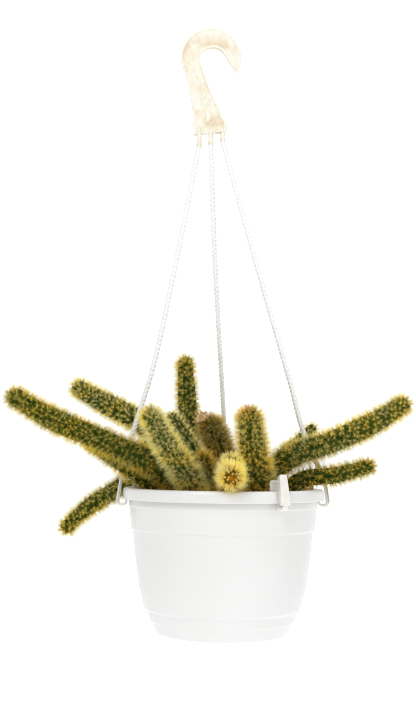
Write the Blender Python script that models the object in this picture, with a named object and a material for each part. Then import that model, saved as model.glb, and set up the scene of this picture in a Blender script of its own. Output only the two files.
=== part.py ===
"""Potted monkey tail cactus in a white hanging pot with three strands and a hook.

The origin is the centre of the pot's underside, +Z is up and -Y faces the viewer.
Lengths are written in millimetres and multiplied by MM.
"""
from math import cos, pi, radians, sin

import bmesh
import bpy
import numpy as np
from mathutils import Matrix, Vector

MM = 0.001
GAP = 0.3                      # clearance that touching pieces keep
HOLE_GAP = 0.5

# The pot: outside radius and height, from the base up to the underside of the rim
POT_SIDES = 32
POT_OUTSIDE = [
    (57.8, 0.0), (59.2, 1.8), (62.8, 10.2), (64.3, 11.2), (66.9, 20.0), (69.5, 21.6),
    (74.1, 40.0), (78.1, 66.0), (80.5, 90.2), (82.2, 91.2), (83.9, 110.6),
    (84.5, 111.2), (84.5, 125.2),
]
POT_INSIDE = [
    (57.4, 2.4), (61.2, 11.4), (62.7, 12.6), (65.3, 21.3), (67.9, 23.0), (72.6, 40.0),
    (76.6, 66.0), (79.0, 90.6), (80.7, 91.6), (82.4, 110.6),
]
RIM_RADIUS = 90.0
RIM_TOP = 127.0
RIM_BOTTOM = 117.0
RIM_WALL = 1.4
RIM_INSIDE = 82.6
RIM_ROUND = 2.4                # the rim's top edge is rounded off by this much
FLOOR = 2.4
BASE_PAD = 12.0                # flat pad in the middle of the underside
BASE_RECESS = 46.0
RECESS_DEPTH = 1.0
DRAIN_RADIUS = 3.0
DRAIN_RING = 32.0
DRAINS = 5

# The soil fills the pot, and each stem stands in a hole of its own
SOIL_TOP = 112.0
SOIL_SIDE = [
    (56.8, 2.7), (60.5, 11.6), (64.8, 21.5), (72.2, 40.0), (76.2, 66.0), (78.6, 90.8),
    (81.4, 108.0), (79.4, 110.8), (74.0, SOIL_TOP),
]
ROOT_DEPTH = 13.0
ROOT_TAPER = 5.0

# The clips, as an outline of distance from the pot's axis and height: a strap with a J at its
# foot that hooks up behind the rim band, and an inner leg that stands inside the rim
CLIP_WIDTH = 10.0
CLIP_TOP = 141.0
CLIP_BEVEL = 3.0
CLIP_OUTLINE = [
    (89.9, CLIP_TOP), (92.1, CLIP_TOP), (95.9, 116.0), (95.4, 112.6), (93.4, 111.0),
    (88.4, 111.0), (86.2, 113.0), (86.0, 120.4), (87.6, 120.4), (87.7, 114.4), (88.6, 113.4),
    (92.6, 113.4), (93.4, 114.4), (91.1, 133.6), (82.0, 133.6), (81.2, 132.8), (81.2, 119.5),
    (79.0, 119.5), (78.9, 134.6), (80.4, 136.0), (90.3, 136.0),
]
CLIP_ANGLES = {"clip_left": 189.0, "clip_right": 3.0, "clip_back": 87.0, "clip_front": -58.0}

# The hook, seen from the front; x and z are measured from the middle of its eye
HOOK_CENTRE = (-13.5, 0.0, 522.0)
HOOK_THICKNESS = 6.0
HOOK_OUTER = 28.2
HOOK_OUTER_CENTRE = (-1.6, 2.9)
HOOK_EYE = 12.4
HOOK_SHANK_RIGHT = [(0.3, -33.5), (10.3, -54.3), (14.3, -63.0), (13.4, -66.6)]
HOOK_FOOT = [(7.2, -68.4), (3.9, -66.8), (0.8, -69.4), (-3.4, -70.2), (-6.2, -69.2), (-9.2, -71.6)]
HOOK_SHANK_LEFT = [(-14.6, -72.0), (-16.8, -69.0), (-18.1, -49.9), (-22.1, -25.1)]
HOOK_BEAD = 2.2                # width of the raised edge
HOOK_RECESS = 1.0
LEG_RADIUS = 2.6
LEGS = {"left": (-11.7, -82.0), "middle": (-1.0, -79.5), "right": (10.0, -76.6)}
LEG_TOP = -66.0

# The strands run from the hook's legs to the clips, past these points
STRAND_RADIUS = 2.4
STRAND_STEPS = 4
STRAND_GAP = 1.2               # its slanted end caps keep clear of the leg and the clip
STRAND_CLIPS = {"left": "clip_left", "middle": "clip_back", "right": "clip_right"}
STRAND_PASSES = {
    "left": [(-48, -6, 314), (-65, -10, 231), (-82, -12.5, 172)],
    "middle": [(-9, 32, 335), (0, 70, 208)],
    "right": [(33, 2, 316), (61, 3.5, 220), (73.5, 4, 175), (84, 4.5, 151)],
}

# The stems: radius under the spines, then the centre line from the foot to the tip
STEMS = {
    "stem_long_left": (9.8, [(-32, -24, 112), (-56, -34, 144), (-98, -44, 165), (-152, -50, 188),
                             (-186, -52, 208)]),
    "stem_back_left": (10.3, [(-12, 15, 112), (-54, 18, 167), (-81, 28, 188), (-110, 36, 203),
                              (-143, 42, 221)]),
    "stem_low_left": (7.4, [(-48, -10, 112), (-65, -21, 130), (-91, -27, 149), (-120, -28, 167)]),
    "stem_drooping": (8.3, [(-50, 28, 112), (-72, 37, 137.5), (-103, 47, 121), (-130, 50, 103),
                            (-150, 46, 83)]),
    "stem_upright": (9.1, [(-26, 43, 112), (-31, 42, 170), (-34, 42, 206), (-37, 40, 249)]),
    "stem_front_left": (9.8, [(-22, -47, 112), (-31, -51, 137), (-47, -60, 161), (-65, -76, 194)]),
    "stem_inner_left": (7.6, [(-5, -4, 112), (-24, -10, 154), (-37, -16, 175), (-49, -20, 193)]),
    "stem_middle": (12.2, [(15, 22, 112), (-1, 20, 152), (-7, 14, 172), (-15, 2, 189)]),
    "stem_facing": (9.0, [(6, -37, 112), (5, -45, 138), (6, -62, 148), (6, -83, 141),
                          (5, -104, 138)]),
    "stem_front_right": (11.8, [(36, -31, 112), (29, -38, 139), (24, -50, 167), (20, -62, 196)]),
    "stem_long_right": (10.0, [(26, -4, 112), (55, -11, 152), (98, -18, 170), (137, -22, 189),
                               (163, -24, 206)]),
    "stem_low_right": (7.8, [(49, 3, 112), (68, -6, 134), (100, -15, 140), (133, -19, 149)]),
    "stem_small_right": (6.4, [(40, 31, 112), (57, 42, 158), (71, 48, 169), (88, 48, 185)]),
    "stem_bud_left": (6.5, [(-36, 4, 112), (-49, 4, 141), (-60, 3, 153), (-75, 2, 167)]),
    "stem_short_left": (7.4, [(-6, -24, 112), (-10, -28, 131), (-15, -33, 145), (-21, -38, 157)]),
    "stem_rear_right": (6.5, [(20, 48, 112), (25, 58, 130), (33, 74, 142), (40, 90, 148)]),
    "stem_rear_left": (6.2, [(-12, 60, 112), (-17, 69, 130), (-25, 83, 139), (-34, 98, 141)]),
}
STEM_SIDES = 12
RIB_VALLEY = 0.90              # radius between two ribs, as a share of the ridge
RING_STEP = 18.0               # one ring of points for this length of stem
RING_TURN = radians(32)        # and one more for each bend of this much

# The spines: one stout needle stands for each cluster
NEEDLE_STEP = 3.2              # one needle for this length of stem
NEEDLE_LENGTH = 5.2
NEEDLE_ROOT = 0.55
NEEDLE_SUNK = 3.0
NEEDLE_LEAN = radians(28)
NEEDLE_SHORTEST = 1.8
NEEDLE_ROOM = 0.35             # a needle stays this much nearer to its own stem
GOLDEN_ANGLE = pi * (3 - 5 ** 0.5)

# The dry flower leans to the left on the dome of the middle stem
FLOWER_RADIUS = 8.5
FLOWER_LOBES = 5
FLOWER_THICKNESS = 1.1
FLOWER_LIFT = 1.0
FLOWER_AIM = (-0.66, -0.55, 0.51)

COLOURS = {
    "pot": ((0.87, 0.87, 0.86), 0.38),
    "soil": ((0.035, 0.026, 0.02), 0.95),
    "clip": ((0.84, 0.82, 0.78), 0.4),
    "hook": ((0.80, 0.74, 0.62), 0.42),
    "strand": ((0.82, 0.82, 0.80), 0.7),
    "stem": ((0.16, 0.17, 0.05), 0.75),
    "flower": ((0.36, 0.24, 0.14), 0.9),
}


def material(name):
    """A plain Principled material in the colour of one kind of piece."""
    found = bpy.data.materials.get(name)
    if found:
        return found
    colour, roughness = COLOURS[name]
    made = bpy.data.materials.new(name)
    made.use_nodes = True
    shader = made.node_tree.nodes["Principled BSDF"]
    shader.inputs["Base Color"].default_value = (*colour, 1.0)
    shader.inputs["Roughness"].default_value = roughness
    shader.inputs["Metallic"].default_value = 0.0
    return made


def to_object(mesh_data, name, kind, smooth_angle=None):
    """Turn a bmesh in millimetres into an object in metres with its material."""
    bmesh.ops.recalc_face_normals(mesh_data, faces=mesh_data.faces)
    bmesh.ops.scale(mesh_data, vec=(MM, MM, MM), verts=mesh_data.verts)
    mesh = bpy.data.meshes.new(name)
    mesh_data.to_mesh(mesh)
    mesh_data.free()
    if smooth_angle:
        mesh.shade_smooth()
        mesh.set_sharp_from_angle(angle=radians(smooth_angle))
    made = bpy.data.objects.new(name, mesh)
    made.data.materials.append(material(kind))
    bpy.context.collection.objects.link(made)
    return made


def turned(profile, sides):
    """A solid of revolution: the (radius, height) outline starts and ends on the Z axis."""
    shape = bmesh.new()
    first = shape.verts.new((0, 0, profile[0][1]))
    last = shape.verts.new((0, 0, profile[-1][1]))
    rings = []
    for radius, height in profile[1:-1]:
        angles = [2 * pi * index / sides for index in range(sides)]
        rings.append([shape.verts.new((radius * cos(a), radius * sin(a), height)) for a in angles])
    for index in range(sides):
        nxt = (index + 1) % sides
        shape.faces.new((first, rings[0][index], rings[0][nxt]))
        shape.faces.new((last, rings[-1][nxt], rings[-1][index]))
        for lower, upper in zip(rings, rings[1:]):
            shape.faces.new((lower[index], upper[index], upper[nxt], lower[nxt]))
    return shape


def extruded(outline, width):
    """A plate of the (x, z) outline, centred on y = 0."""
    shape = bmesh.new()
    face = shape.faces.new([shape.verts.new((x, -width / 2, z)) for x, z in outline])
    grown = bmesh.ops.extrude_face_region(shape, geom=[face])["geom"]
    moved = [part for part in grown if isinstance(part, bmesh.types.BMVert)]
    bmesh.ops.translate(shape, vec=(0, width, 0), verts=moved)
    return shape


def boolean(target, cutters, operation, solver="EXACT"):
    """Join or cut with a collection of closed shapes, apply it and remove them."""
    group = bpy.data.collections.new(target.name + "_tools")
    for cutter in cutters:
        group.objects.link(cutter)
    change = target.modifiers.new(operation, "BOOLEAN")
    change.operation = operation
    change.solver = solver
    change.operand_type = "COLLECTION"
    change.collection = group
    evaluated = target.evaluated_get(bpy.context.evaluated_depsgraph_get())
    result = bpy.data.meshes.new_from_object(evaluated)
    target.modifiers.clear()
    target.data = result
    for cutter in cutters:
        bpy.data.objects.remove(cutter)
    bpy.data.collections.remove(group)


def rod(name, kind, start, end, radius, sides):
    """A round rod between two points."""
    shape = bmesh.new()
    start = Vector(start)
    axis = Vector(end) - start
    turn = axis.to_track_quat("Z", "Y").to_matrix().to_4x4()
    bmesh.ops.create_cone(shape, cap_ends=True, segments=sides, radius1=radius, radius2=radius,
                          depth=axis.length, matrix=Matrix.Translation(start + axis / 2) @ turn)
    return to_object(shape, name, kind)


def make_pot():
    """A thin stepped bucket with a hollow rim band and drain holes."""
    underside = [
        (0.0, 0.0), (BASE_PAD, 0.0), (BASE_PAD + 1, RECESS_DEPTH), (BASE_RECESS, RECESS_DEPTH),
        (BASE_RECESS + 1, 0.0),
    ]
    rim = [
        (RIM_RADIUS - RIM_WALL - RIM_ROUND, RIM_TOP - 1.8),
        (RIM_RADIUS - RIM_WALL, RIM_TOP - 1.4 - RIM_ROUND),
        (RIM_RADIUS - RIM_WALL, RIM_BOTTOM + 0.4), (RIM_RADIUS - 0.6, RIM_BOTTOM),
        (RIM_RADIUS, RIM_BOTTOM + 0.6), (RIM_RADIUS, RIM_TOP - RIM_ROUND),
        (RIM_RADIUS - 0.3 * RIM_ROUND, RIM_TOP - 0.3 * RIM_ROUND),
        (RIM_RADIUS - RIM_ROUND, RIM_TOP), (RIM_INSIDE + 1, RIM_TOP), (RIM_INSIDE, RIM_TOP - 1),
    ]
    shape = turned(underside + POT_OUTSIDE + rim + POT_INSIDE[::-1] + [(0.0, FLOOR)], POT_SIDES)
    pot = to_object(shape, "pot", "pot", 35)
    drains = []
    for index in range(DRAINS):
        angle = 2 * pi * (index + 0.5) / DRAINS
        x = DRAIN_RING * cos(angle)
        y = DRAIN_RING * sin(angle)
        drains.append(rod("drain", "pot", (x, y, -2), (x, y, FLOOR + 2), DRAIN_RADIUS, 12))
    boolean(pot, drains, "DIFFERENCE")
    pot.data.shade_smooth()
    pot.data.set_sharp_from_angle(angle=radians(35))


def make_soil():
    """The soil as one plug, with a plain hole for every stem."""
    outline = [(0.0, FLOOR + GAP)] + SOIL_SIDE + [(0.0, SOIL_TOP)]
    soil = to_object(turned(outline, POT_SIDES), "soil", "soil", 35)
    holes = []
    for radius, points in STEMS.values():
        bore = stem_body(points, radius, cutter=True)
        holes.append(to_object(bore, "hole", "soil"))
    boolean(soil, holes, "DIFFERENCE")


def make_clips():
    """Four straps that grip the rim band; three of them carry a strand."""
    for name, angle in CLIP_ANGLES.items():
        shape = extruded(CLIP_OUTLINE, CLIP_WIDTH)
        corners = []
        for edge in shape.edges:
            ends = [vertex.co for vertex in edge.verts]
            level = all(abs(end.z - CLIP_TOP) < 0.01 for end in ends)
            across = abs(ends[0].y - ends[1].y) < 0.01
            if level and across:
                corners.append(edge)
        bmesh.ops.bevel(shape, geom=corners, offset=CLIP_BEVEL, segments=3, profile=0.5,
                        affect="EDGES")
        bmesh.ops.rotate(shape, cent=(0, 0, 0), matrix=Matrix.Rotation(radians(angle), 3, "Z"),
                         verts=shape.verts)
        to_object(shape, name, "clip")


def arc(centre, radius, start, end, steps):
    """Points on an arc, with angles in degrees."""
    angles = np.radians(np.linspace(start, end, steps))
    return [(centre[0] + radius * cos(a), centre[1] + radius * sin(a)) for a in angles]


def make_hook():
    """A flat open hook with a raised edge, and three short legs for the strands."""
    crown = arc(HOOK_OUTER_CENTRE, HOOK_OUTER, 186, -13, 19)
    tip = [(23.8, -9.4), (21.6, -10.4), (19.6, -7.8)]
    eye = arc((0, 0), HOOK_EYE, 22, 214, 15)
    outline = crown + tip + eye + HOOK_SHANK_RIGHT + HOOK_FOOT + HOOK_SHANK_LEFT
    shape = extruded(outline, HOOK_THICKNESS)
    faces = [face for face in shape.faces if abs(face.normal.y) > 0.9 and len(face.verts) > 20]
    bmesh.ops.recalc_face_normals(shape, faces=shape.faces)
    bmesh.ops.inset_individual(shape, faces=faces, thickness=HOOK_BEAD, depth=-HOOK_RECESS)
    bmesh.ops.translate(shape, vec=HOOK_CENTRE, verts=shape.verts)
    hook = to_object(shape, "hook", "hook")
    legs = []
    for x, bottom in LEGS.values():
        top = Vector(HOOK_CENTRE) + Vector((x, 0, LEG_TOP))
        end = Vector(HOOK_CENTRE) + Vector((x, 0, bottom))
        legs.append(rod("leg", "hook", end, top, LEG_RADIUS, 10))
    boolean(hook, legs, "UNION")


def smooth_curve(knots, steps):
    """A smooth curve through all knots but the first and the last, which only steer its ends.

    Each knot's direction is that of the parabola through it and its two neighbours.
    """
    spans = np.linalg.norm(np.diff(knots, axis=0), axis=1)[:, None]
    slopes = np.diff(knots, axis=0) / spans
    inner = (slopes[:-1] * spans[1:] + slopes[1:] * spans[:-1]) / (spans[:-1] + spans[1:])
    pieces = []
    for i in range(1, len(knots) - 2):
        t = np.linspace(0, 1, steps, endpoint=(i == len(knots) - 3))[:, None]
        pieces.append((1 + 2 * t) * (1 - t) ** 2 * knots[i] + t ** 2 * (3 - 2 * t) * knots[i + 1]
                      + spans[i] * t * (1 - t) * ((1 - t) * inner[i - 1] - t * inner[i]))
    return np.vstack(pieces)


def strand_path(side):
    """A smooth line from a leg of the hook, past the points given, to the top of a clip."""
    x, bottom = LEGS[side]
    start = np.array(HOOK_CENTRE) + (x, 0, bottom - STRAND_GAP)
    angle = radians(CLIP_ANGLES[STRAND_CLIPS[side]])
    reach = (CLIP_OUTLINE[0][0] + CLIP_OUTLINE[1][0]) / 2
    end = np.array([reach * cos(angle), reach * sin(angle), CLIP_TOP + STRAND_GAP + 0.6])
    points = np.vstack([start, STRAND_PASSES[side], end])
    before = 2 * points[0] - points[1]
    after = 2 * points[-1] - points[-2]
    return smooth_curve(np.vstack([before, points, after]), STRAND_STEPS)


def make_strand(side):
    """One strand as a plain round cord."""
    curve = bpy.data.curves.new("strand_" + side, "CURVE")
    curve.dimensions = "3D"
    curve.bevel_depth = STRAND_RADIUS * MM
    curve.bevel_resolution = 2
    curve.use_fill_caps = True
    points = strand_path(side)
    line = curve.splines.new("POLY")
    line.points.add(len(points) - 1)
    for target, point in zip(line.points, points):
        target.co = (*(point * MM), 1.0)
    strand = bpy.data.objects.new("strand_" + side, curve)
    curve.materials.append(material("strand"))
    bpy.context.collection.objects.link(strand)


def centre_line(points, steps=14):
    """A smooth curve from the buried root through the points to the tip."""
    points = np.array(points, float)
    root = points[0] - (0, 0, ROOT_DEPTH)
    before = root - (0, 0, ROOT_DEPTH)
    after = 2 * points[-1] - points[-2]
    return smooth_curve(np.vstack([before, root, points, after]), steps)


class Line:
    """A centre line that can be sampled by the distance along it, with a frame that doesn't twist."""

    def __init__(self, points):
        self.points = centre_line(points)
        steps = np.linalg.norm(np.diff(self.points, axis=0), axis=1)
        self.along = np.concatenate([[0], np.cumsum(steps)])
        self.length = self.along[-1]
        self.tangents = np.gradient(self.points, axis=0)
        self.tangents /= np.linalg.norm(self.tangents, axis=1)[:, None]
        side = np.array([0.0, 1.0, 0.0])
        sides = []
        for tangent in self.tangents:
            side = side - tangent * side.dot(tangent)
            side = side / np.linalg.norm(side)
            sides.append(side)
        self.sides = np.array(sides)

    def at(self, distance):
        """Point, tangent and the two cross directions at a distance from the root."""
        def mix(values):
            return np.array([np.interp(distance, self.along, values[:, k]) for k in range(3)])
        tangent = mix(self.tangents)
        tangent /= np.linalg.norm(tangent)
        side = mix(self.sides)
        side -= tangent * side.dot(tangent)
        side /= np.linalg.norm(side)
        return mix(self.points), tangent, side, np.cross(tangent, side)

    def ring_places(self, start, end):
        """Distances from start to end, closer together where the line bends."""
        turns = np.arccos(np.clip((self.tangents[1:] * self.tangents[:-1]).sum(1), -1, 1))
        effort = np.cumsum(np.diff(self.along) / RING_STEP + turns / RING_TURN)
        effort = np.concatenate([[0], effort])
        first, last = np.interp((start, end), self.along, effort)
        count = max(3, round(last - first))
        return np.interp(np.linspace(first, last, count + 1), effort, self.along)


def stem_body(points, radius, cutter=False):
    """A ribbed round stem with a domed tip; as a cutter it is a little deeper and is plain."""
    line = Line(points)
    neck = line.length - radius
    stations = [(0.0, 0.80)]
    stations += [(distance, 1.0) for distance in line.ring_places(ROOT_TAPER, neck)]
    if cutter:
        above = sum(station[0] < ROOT_DEPTH + radius for station in stations)
        stations = stations[:above + 1]
    else:
        for angle in (30, 58, 78):
            stations.append((neck + radius * sin(radians(angle)), cos(radians(angle))))
    shape = bmesh.new()
    rings = []
    for distance, scale in stations:
        point, tangent, side, other = line.at(distance)
        if cutter and distance == 0.0:
            point = point - tangent * GAP
        ring = []
        for index in range(STEM_SIDES):
            angle = 2 * pi * index / STEM_SIDES
            share = 1.0 if cutter or index % 2 == 0 else RIB_VALLEY
            reach = radius * scale * share + (HOLE_GAP if cutter else 0.0)
            ring.append(shape.verts.new(point + (side * cos(angle) + other * sin(angle)) * reach))
        rings.append(ring)
    for lower, upper in zip(rings, rings[1:]):
        for index in range(STEM_SIDES):
            nxt = (index + 1) % STEM_SIDES
            shape.faces.new((lower[index], lower[nxt], upper[nxt]))
            shape.faces.new((lower[index], upper[nxt], upper[index]))
    shape.faces.new(rings[0][::-1])
    if cutter:
        shape.faces.new(rings[-1])
    else:
        tip = shape.verts.new(line.at(line.length)[0])
        for index in range(STEM_SIDES):
            shape.faces.new((rings[-1][index], rings[-1][(index + 1) % STEM_SIDES], tip))
    return shape


def nearest(points, path):
    """Distance of each point from a path of points."""
    start = path[:-1]
    run = path[1:] - start
    offset = points[:, None] - start[None]
    share = np.clip((offset * run).sum(2) / (run ** 2).sum(1), 0, 1)
    return np.linalg.norm(offset - run * share[..., None], axis=2).min(1)


def free_length(name, root, direction, length, lines, strands):
    """How far a needle can reach before it comes too near to another piece."""
    reach = np.linspace(0, length, 9)
    points = root + direction * reach[:, None]
    own_line, own_radius = lines[name]
    own = np.maximum(nearest(points, own_line.points) - own_radius, 0)
    room = np.full(len(points), 99.0)
    for other, (line, radius) in lines.items():
        if other != name:
            gap = nearest(points, line.points[:-1]) - radius - own
            room = np.minimum(room, gap - NEEDLE_ROOM)
    for path in strands:
        room = np.minimum(room, nearest(points, path) - STRAND_RADIUS - 0.8)
    spread = np.hypot(points[:, 0], points[:, 1])
    room = np.where((spread > RIM_INSIDE - 5) & (points[:, 2] < RIM_TOP + 0.8)
                    & (spread < RIM_RADIUS + 1.5), -1, room)
    room = np.where((points[:, 2] < SOIL_TOP + 1.2) & (spread < RIM_RADIUS), -1, room)
    for angle in CLIP_ANGLES.values():
        turn = np.array([cos(radians(angle)), sin(radians(angle))])
        out = points[:, :2] @ turn
        across = np.abs(points[:, 0] * turn[1] - points[:, 1] * turn[0])
        near = (out > 77) & (out < 97) & (across < CLIP_WIDTH / 2 + 1) & (points[:, 2] < CLIP_TOP + 1)
        room = np.where(near, -1, room)
    flower, _ = flower_place()
    room = np.minimum(room, np.linalg.norm(points - flower, axis=1) - FLOWER_RADIUS - 2.2)
    blocked = np.nonzero(room < 0)[0]
    return length if len(blocked) == 0 else reach[max(blocked[0] - 1, 0)]


def make_needle(base, direction, length):
    """A closed three-sided needle from its sunk base to its point."""
    shape = bmesh.new()
    turn = Vector(direction).to_track_quat("Z", "Y").to_matrix()
    foot = []
    for angle in (0.0, 2 * pi / 3, 4 * pi / 3):
        corner = Vector((NEEDLE_ROOT * cos(angle), NEEDLE_ROOT * sin(angle), 0))
        foot.append(shape.verts.new(Vector(base) + turn @ corner))
    tip = shape.verts.new(Vector(base) + Vector(direction) * length)
    shape.faces.new(foot[::-1])
    for index in range(3):
        shape.faces.new((foot[index], foot[(index + 1) % 3], tip))
    return to_object(shape, "needle", "stem")


def make_stem(name, lines, strands):
    """One stem with its needles, joined into one solid."""
    radius, points = STEMS[name]
    line = lines[name][0]
    stem = to_object(stem_body(points, radius), name, "stem")
    first = ROOT_DEPTH + 5.0
    count = round((line.length - first) / NEEDLE_STEP)
    needles = []
    for index in range(count):
        distance = first + (line.length + 4.0 - first) * (index + 0.5) / count
        over = max(distance - (line.length - radius), 0.0) / (radius + 4.0)
        tilt = NEEDLE_LEAN + (pi / 2 - NEEDLE_LEAN) * min(over, 1.0)
        place, tangent, side, other = line.at(min(distance, line.length - radius))
        angle = index * GOLDEN_ANGLE
        outward = side * cos(angle) + other * sin(angle)
        swell = outward * cos(pi / 2 * over) + tangent * sin(pi / 2 * over)
        direction = outward * cos(tilt) + tangent * sin(tilt)
        root = place + swell * radius * (RIB_VALLEY + 1) / 2
        length = NEEDLE_LENGTH * (0.85 + 0.3 * ((index * 0.618) % 1))
        length = free_length(name, root, direction, length + 0.6, lines, strands)
        if length < NEEDLE_SHORTEST:
            continue
        needles.append(make_needle(root - direction * NEEDLE_SUNK, direction, length + NEEDLE_SUNK))
    boolean(stem, needles, "UNION", "MANIFOLD")


def flower_place():
    """Centre and direction of the dry flower on the dome of the middle stem."""
    radius, points = STEMS["stem_middle"]
    line = Line(points)
    dome = line.at(line.length - radius)[0]
    aim = np.array(FLOWER_AIM) / np.linalg.norm(FLOWER_AIM)
    return dome + aim * (radius + GAP + FLOWER_LIFT), aim


def make_flower():
    """A small shrivelled cup of papery lobes that sits on the tip of a stem."""
    centre, aim = flower_place()
    rings = []
    shape = bmesh.new()
    lift = Vector(aim).to_track_quat("Z", "Y").to_matrix()
    count = FLOWER_LOBES * 4
    for radius, height in ((0.45, 0.0), (1.0, 2.6), (0.9, 2.6 + FLOWER_THICKNESS), (0.4, 1.3)):
        ring = []
        for index in range(count):
            angle = 2 * pi * index / count
            lobe = 1 + 0.18 * cos(FLOWER_LOBES * angle) * radius
            curl = height + 1.2 * radius * sin(2 * angle + 0.7) * (radius > 0.5)
            spot = Vector((cos(angle) * radius * lobe * FLOWER_RADIUS,
                           sin(angle) * radius * lobe * FLOWER_RADIUS * 0.7, curl))
            ring.append(shape.verts.new(Vector(centre) + lift @ spot))
        rings.append(ring)
    for lower, upper in zip(rings, rings[1:]):
        for index in range(count):
            nxt = (index + 1) % count
            shape.faces.new((lower[index], lower[nxt], upper[nxt], upper[index]))
    shape.faces.new(rings[0][::-1])
    shape.faces.new(rings[-1])
    to_object(shape, "dry_flower", "flower")


def clear_scene():
    for old in list(bpy.data.objects):
        bpy.data.objects.remove(old)


def build():
    clear_scene()
    make_pot()
    make_soil()
    make_clips()
    make_hook()
    for side in LEGS:
        make_strand(side)
    lines = {name: (Line(points), radius) for name, (radius, points) in STEMS.items()}
    strands = [strand_path(side) for side in LEGS]
    for name in STEMS:
        make_stem(name, lines, strands)
    make_flower()


build()
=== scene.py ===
"""Potted monkey tail cactus, hanging in a white pot: the looks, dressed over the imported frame."""
from math import atan, cos, pi, radians, sin

import bpy
import numpy as np
from mathutils import Matrix, Vector


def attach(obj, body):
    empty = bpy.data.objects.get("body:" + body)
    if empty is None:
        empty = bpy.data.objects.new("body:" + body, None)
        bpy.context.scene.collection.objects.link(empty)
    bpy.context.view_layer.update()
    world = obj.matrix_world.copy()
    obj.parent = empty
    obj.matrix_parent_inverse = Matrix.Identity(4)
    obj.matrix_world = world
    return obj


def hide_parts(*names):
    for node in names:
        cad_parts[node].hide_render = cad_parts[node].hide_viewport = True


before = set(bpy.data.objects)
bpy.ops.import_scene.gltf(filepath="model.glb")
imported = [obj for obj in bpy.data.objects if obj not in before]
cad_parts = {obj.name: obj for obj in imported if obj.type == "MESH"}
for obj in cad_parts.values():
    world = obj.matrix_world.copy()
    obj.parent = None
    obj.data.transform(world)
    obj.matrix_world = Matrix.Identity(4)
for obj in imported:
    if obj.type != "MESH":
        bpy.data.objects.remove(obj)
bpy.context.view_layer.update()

# The stage: the pot hangs in front of a plain pale studio floor that rolls up behind it.
# The camera stands 0.96 m in front of the pot, a little above its rim, and looks slightly up.
MM = 0.001
PHOTO_HEIGHT = 719
FOCAL_PIXELS = 1060.0
HORIZON_BELOW_MIDDLE = 92.5
CAMERA_PLACE = Vector((-14.0, -960.0, 159.0)) * MM
CAMERA_ROLL = radians(-0.6)
LIGHTS_AIM = (0, 0, 0.2)
WORLD_STRENGTH = 0.46
STUDIO_WHITE = (1.0, 1.0, 1.0, 1.0)

lens = bpy.data.cameras.new("camera")
lens.sensor_width = 36.0
lens.lens = FOCAL_PIXELS / PHOTO_HEIGHT * lens.sensor_width
lens.clip_start = 0.01
camera = bpy.data.objects.new("camera", lens)
pitch = atan(HORIZON_BELOW_MIDDLE / FOCAL_PIXELS)
turn = Matrix.Rotation(CAMERA_ROLL, 4, "Y") @ Matrix.Rotation(pi / 2 + pitch, 4, "X")
camera.matrix_world = Matrix.Translation(CAMERA_PLACE) @ turn
bpy.context.collection.objects.link(camera)
bpy.context.scene.camera = camera


def area_light(name, place, size, power):
    """A square soft box at a place, turned towards the plant; power in watts."""
    lamp = bpy.data.lights.new(name, "AREA")
    lamp.size = size
    lamp.energy = power
    made = bpy.data.objects.new(name, lamp)
    made.location = place
    made.rotation_euler = (Vector(LIGHTS_AIM) - Vector(place)).to_track_quat("-Z", "Y").to_euler()
    bpy.context.collection.objects.link(made)


area_light("key_light", (-0.7, -1.5, 1.5), 1.0, 17)
area_light("fill_light", (1.2, -1.1, 0.7), 1.2, 6)
area_light("top_light", (0.1, 0.3, 1.5), 1.4, 9)
studio = bpy.data.worlds.new("studio")
studio.use_nodes = True
studio.node_tree.nodes["Background"].inputs["Color"].default_value = STUDIO_WHITE
studio.node_tree.nodes["Background"].inputs["Strength"].default_value = WORLD_STRENGTH
bpy.context.scene.world = studio
bpy.context.scene.view_settings.view_transform = "Standard"
bpy.context.scene.cycles.filter_width = 1.0


class Wire:
    """A shader socket; arithmetic on it adds Math nodes, and node() adds any other node."""

    def __init__(self, tree, socket):
        self.tree = tree
        self.socket = socket

    def node(self, kind, settings=None, sockets=None, output=0):
        """Add a node, first its settings, then its sockets' values or links; give one output."""
        made = self.tree.nodes.new(kind)
        for name, value in (settings or {}).items():
            setattr(made, name, value)
        for name, value in (sockets or {}).items():
            if isinstance(value, Wire):
                self.tree.links.new(value.socket, made.inputs[name])
            else:
                made.inputs[name].default_value = value
        return Wire(self.tree, made.outputs[output])

    def math(self, operation, left, right=0.0):
        return self.node("ShaderNodeMath", {"operation": operation}, {0: left, 1: right})

    def __add__(self, other):
        return self.math("ADD", self, other)

    def __radd__(self, other):
        return self.math("ADD", other, self)

    def __sub__(self, other):
        return self.math("SUBTRACT", self, other)

    def __rsub__(self, other):
        return self.math("SUBTRACT", other, self)

    def __mul__(self, other):
        return self.math("MULTIPLY", self, other)

    def __rmul__(self, other):
        return self.math("MULTIPLY", other, self)

    def smooth(self, low, high):
        """0 below low, 1 above high, and an even S between."""
        return self.node("ShaderNodeMapRange", {"interpolation_type": "SMOOTHSTEP"},
                         {"Value": self, "From Min": low, "From Max": high})

    def mix(self, first, second):
        """first where this is 0 and second where it is 1; both are colours."""
        def full(value):
            return value if isinstance(value, Wire) else (*value, 1.0)
        return self.node("ShaderNodeMix", {"data_type": "RGBA"},
                         {0: self, 6: full(first), 7: full(second)}, output=2)


def finish_of(name, roughness, colour=(0.8, 0.8, 0.8), **constants):
    """A Principled material; gives the material, its object coordinates and its shader node."""
    made = bpy.data.materials.new(name)
    made.use_nodes = True
    shader = made.node_tree.nodes["Principled BSDF"]
    shader.inputs["Roughness"].default_value = roughness
    shader.inputs["Base Color"].default_value = (*colour, 1.0)
    for key, value in constants.items():
        shader.inputs[key.replace("_", " ")].default_value = value
    place = made.node_tree.nodes.new("ShaderNodeTexCoord").outputs["Object"]
    return made, Wire(made.node_tree, place), shader


def feed(shader, socket, wire):
    """Link a wire into a socket of the shader."""
    wire.tree.links.new(wire.socket, shader.inputs[socket])


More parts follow.
